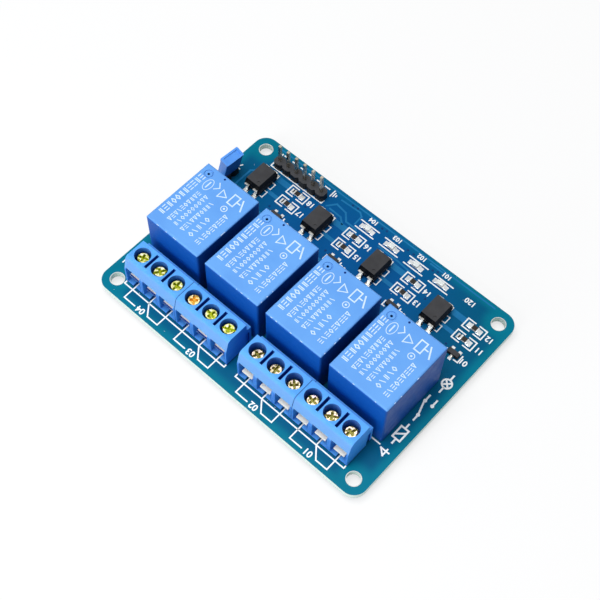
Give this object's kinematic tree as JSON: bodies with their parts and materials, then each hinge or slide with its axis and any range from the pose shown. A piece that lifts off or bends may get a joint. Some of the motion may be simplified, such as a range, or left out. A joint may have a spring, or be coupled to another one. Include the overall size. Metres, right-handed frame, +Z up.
{
  "type": "relay board",
  "caption": "Relay board with sealed relays, a row of screw terminals, an input header and a power jumper.",
  "frame": {"origin": "centre of the board's outline in X and Y, at the tips of the solder joints in Z", "axes": "+X along the row of relays, +Y from the terminals to the input header, +Z up from the board"},
  "size_m": [0.0756, 0.0548, 0.0183],
  "materials": {
    "laminate": "satin",
    "solder": "satin",
    "relay_blue": "satin",
    "base_plastic": "matte",
    "bobbin_plastic": "matte",
    "copper": "satin",
    "steel": "satin",
    "contact_brass": "satin",
    "tinned": "satin",
    "black_plastic": "matte",
    "blue_plastic": "matte",
    "lamp_resin": "gloss",
    "screw_zinc": "satin"
  },
  "bodies": {
    "board": {"circuit_board": "laminate", "solder_joints": "solder", "relay_cover_1": "relay_blue", "relay_cover_2": "relay_blue", "relay_cover_3": "relay_blue", "relay_cover_4": "relay_blue", "relay_bases": "base_plastic", "relay_bobbins": "bobbin_plastic", "relay_windings": "copper", "relay_yokes": "steel", "relay_contacts": "contact_brass", "terminal_block_1": "blue_plastic", "terminal_block_2": "blue_plastic", "terminal_block_3": "blue_plastic", "terminal_block_4": "blue_plastic", "clamp_frames": "tinned", "optocoupler_1": "black_plastic", "optocoupler_2": "black_plastic", "optocoupler_3": "black_plastic", "optocoupler_4": "black_plastic", "optocoupler_leads": "tinned", "header_housing": "black_plastic", "header_pins": "tinned", "jumper_housing": "black_plastic", "jumper_pins": "tinned", "resistors": "black_plastic", "indicator_lamps": "lamp_resin", "transistors": "black_plastic", "diodes": "black_plastic"},
    "armature_1": {"relay_armature_1": "steel"},
    "armature_2": {"relay_armature_2": "steel"},
    "armature_3": {"relay_armature_3": "steel"},
    "armature_4": {"relay_armature_4": "steel"},
    "clamp_1": {"pressure_plate_1": "tinned"},
    "screw_1": {"terminal_screw_1": "screw_zinc"},
    "clamp_2": {"pressure_plate_2": "tinned"},
    "screw_2": {"terminal_screw_2": "screw_zinc"},
    "clamp_3": {"pressure_plate_3": "tinned"},
    "screw_3": {"terminal_screw_3": "screw_zinc"},
    "clamp_4": {"pressure_plate_4": "tinned"},
    "screw_4": {"terminal_screw_4": "screw_zinc"},
    "clamp_5": {"pressure_plate_5": "tinned"},
    "screw_5": {"terminal_screw_5": "screw_zinc"},
    "clamp_6": {"pressure_plate_6": "tinned"},
    "screw_6": {"terminal_screw_6": "screw_zinc"},
    "clamp_7": {"pressure_plate_7": "tinned"},
    "screw_7": {"terminal_screw_7": "screw_zinc"},
    "clamp_8": {"pressure_plate_8": "tinned"},
    "screw_8": {"terminal_screw_8": "screw_zinc"},
    "clamp_9": {"pressure_plate_9": "tinned"},
    "screw_9": {"terminal_screw_9": "screw_zinc"},
    "clamp_10": {"pressure_plate_10": "tinned"},
    "screw_10": {"terminal_screw_10": "screw_zinc"},
    "clamp_11": {"pressure_plate_11": "tinned"},
    "screw_11": {"terminal_screw_11": "screw_zinc"},
    "clamp_12": {"pressure_plate_12": "tinned"},
    "screw_12": {"terminal_screw_12": "screw_zinc"},
    "jumper": {"jumper_cap": "blue_plastic", "jumper_clip": "tinned"}
  },
  "joints": [
    {"name": "armature_rock_1", "type": "hinge", "parent": "board", "child": "armature_1", "pos_m": [-0.0258, 0.00235, 0.01455], "axis": [1, 0, 0], "range_deg": [0, 4], "stiffness_Nm_per_rad": 0.01, "springref_deg": -8.59},
    {"name": "armature_rock_2", "type": "hinge", "parent": "board", "child": "armature_2", "pos_m": [-0.0086, 0.00235, 0.01455], "axis": [1, 0, 0], "range_deg": [0, 4], "stiffness_Nm_per_rad": 0.01, "springref_deg": -8.59},
    {"name": "armature_rock_3", "type": "hinge", "parent": "board", "child": "armature_3", "pos_m": [0.0086, 0.00235, 0.01455], "axis": [1, 0, 0], "range_deg": [0, 4], "stiffness_Nm_per_rad": 0.01, "springref_deg": -8.59},
    {"name": "armature_rock_4", "type": "hinge", "parent": "board", "child": "armature_4", "pos_m": [0.0258, 0.00235, 0.01455], "axis": [1, 0, 0], "range_deg": [0, 4], "stiffness_Nm_per_rad": 0.01, "springref_deg": -8.59},
    {"name": "clamp_slide_1", "type": "slide", "parent": "board", "child": "clamp_1", "axis": [0, 0, 1], "range_m": [-0.0018, 0.0001]},
    {"name": "screw_turn_1", "type": "hinge", "parent": "clamp_1", "child": "screw_1", "pos_m": [-0.02989, -0.01935, 0.0091], "axis": [0, 0, 1], "range_deg": [-1445, 85]},
    {"name": "clamp_slide_2", "type": "slide", "parent": "board", "child": "clamp_2", "axis": [0, 0, 1], "range_m": [-0.0018, 0.0001]},
    {"name": "screw_turn_2", "type": "hinge", "parent": "clamp_2", "child": "screw_2", "pos_m": [-0.02481, -0.01935, 0.0091], "axis": [0, 0, 1], "range_deg": [-1445, 85]},
    {"name": "clamp_slide_3", "type": "slide", "parent": "board", "child": "clamp_3", "axis": [0, 0, 1], "range_m": [-0.0018, 0.0001]},
    {"name": "screw_turn_3", "type": "hinge", "parent": "clamp_3", "child": "screw_3", "pos_m": [-0.01973, -0.01935, 0.0091], "axis": [0, 0, 1], "range_deg": [-1445, 85]},
    {"name": "clamp_slide_4", "type": "slide", "parent": "board", "child": "clamp_4", "axis": [0, 0, 1], "range_m": [-0.0018, 0.0001]},
    {"name": "screw_turn_4", "type": "hinge", "parent": "clamp_4", "child": "screw_4", "pos_m": [-0.01465, -0.01935, 0.0091], "axis": [0, 0, 1], "range_deg": [-1445, 85]},
    {"name": "clamp_slide_5", "type": "slide", "parent": "board", "child": "clamp_5", "axis": [0, 0, 1], "range_m": [-0.0018, 0.0001]},
    {"name": "screw_turn_5", "type": "hinge", "parent": "clamp_5", "child": "screw_5", "pos_m": [-0.00957, -0.01935, 0.0091], "axis": [0, 0, 1], "range_deg": [-1445, 85]},
    {"name": "clamp_slide_6", "type": "slide", "parent": "board", "child": "clamp_6", "axis": [0, 0, 1], "range_m": [-0.0018, 0.0001]},
    {"name": "screw_turn_6", "type": "hinge", "parent": "clamp_6", "child": "screw_6", "pos_m": [-0.00449, -0.01935, 0.0091], "axis": [0, 0, 1], "range_deg": [-1445, 85]},
    {"name": "clamp_slide_7", "type": "slide", "parent": "board", "child": "clamp_7", "axis": [0, 0, 1], "range_m": [-0.00095, 0.00095]},
    {"name": "screw_turn_7", "type": "hinge", "parent": "clamp_7", "child": "screw_7", "pos_m": [0.00369, -0.01935, 0.0091], "axis": [0, 0, 1], "range_deg": [-765, 765]},
    {"name": "clamp_slide_8", "type": "slide", "parent": "board", "child": "clamp_8", "axis": [0, 0, 1], "range_m": [-0.00095, 0.00095]},
    {"name": "screw_turn_8", "type": "hinge", "parent": "clamp_8", "child": "screw_8", "pos_m": [0.00877, -0.01935, 0.0091], "axis": [0, 0, 1], "range_deg": [-765, 765]},
    {"name": "clamp_slide_9", "type": "slide", "parent": "board", "child": "clamp_9", "axis": [0, 0, 1], "range_m": [-0.00095, 0.00095]},
    {"name": "screw_turn_9", "type": "hinge", "parent": "clamp_9", "child": "screw_9", "pos_m": [0.01385, -0.01935, 0.0091], "axis": [0, 0, 1], "range_deg": [-765, 765]},
    {"name": "clamp_slide_10", "type": "slide", "parent": "board", "child": "clamp_10", "axis": [0, 0, 1], "range_m": [-0.00095, 0.00095]},
    {"name": "screw_turn_10", "type": "hinge", "parent": "clamp_10", "child": "screw_10", "pos_m": [0.01893, -0.01935, 0.0091], "axis": [0, 0, 1], "range_deg": [-765, 765]},
    {"name": "clamp_slide_11", "type": "slide", "parent": "board", "child": "clamp_11", "axis": [0, 0, 1], "range_m": [-0.00095, 0.00095]},
    {"name": "screw_turn_11", "type": "hinge", "parent": "clamp_11", "child": "screw_11", "pos_m": [0.02401, -0.01935, 0.0091], "axis": [0, 0, 1], "range_deg": [-765, 765]},
    {"name": "clamp_slide_12", "type": "slide", "parent": "board", "child": "clamp_12", "axis": [0, 0, 1], "range_m": [-0.00095, 0.00095]},
    {"name": "screw_turn_12", "type": "hinge", "parent": "clamp_12", "child": "screw_12", "pos_m": [0.02909, -0.01935, 0.0091], "axis": [0, 0, 1], "range_deg": [-765, 765]},
    {"name": "jumper_pull", "type": "slide", "parent": "board", "child": "jumper", "axis": [0.2327, -0.0183, 0.9724], "range_m": [0, 0.008]}
  ],
  "couplings": [
    {"joint": "screw_turn_1", "follows": "clamp_slide_1", "rad_per_m": 13963},
    {"joint": "screw_turn_2", "follows": "clamp_slide_2", "rad_per_m": 13963},
    {"joint": "screw_turn_3", "follows": "clamp_slide_3", "rad_per_m": 13963},
    {"joint": "screw_turn_4", "follows": "clamp_slide_4", "rad_per_m": 13963},
    {"joint": "screw_turn_5", "follows": "clamp_slide_5", "rad_per_m": 13963},
    {"joint": "screw_turn_6", "follows": "clamp_slide_6", "rad_per_m": 13963},
    {"joint": "screw_turn_7", "follows": "clamp_slide_7", "rad_per_m": 13963},
    {"joint": "screw_turn_8", "follows": "clamp_slide_8", "rad_per_m": 13963},
    {"joint": "screw_turn_9", "follows": "clamp_slide_9", "rad_per_m": 13963},
    {"joint": "screw_turn_10", "follows": "clamp_slide_10", "rad_per_m": 13963},
    {"joint": "screw_turn_11", "follows": "clamp_slide_11", "rad_per_m": 13963},
    {"joint": "screw_turn_12", "follows": "clamp_slide_12", "rad_per_m": 13963}
  ]
}
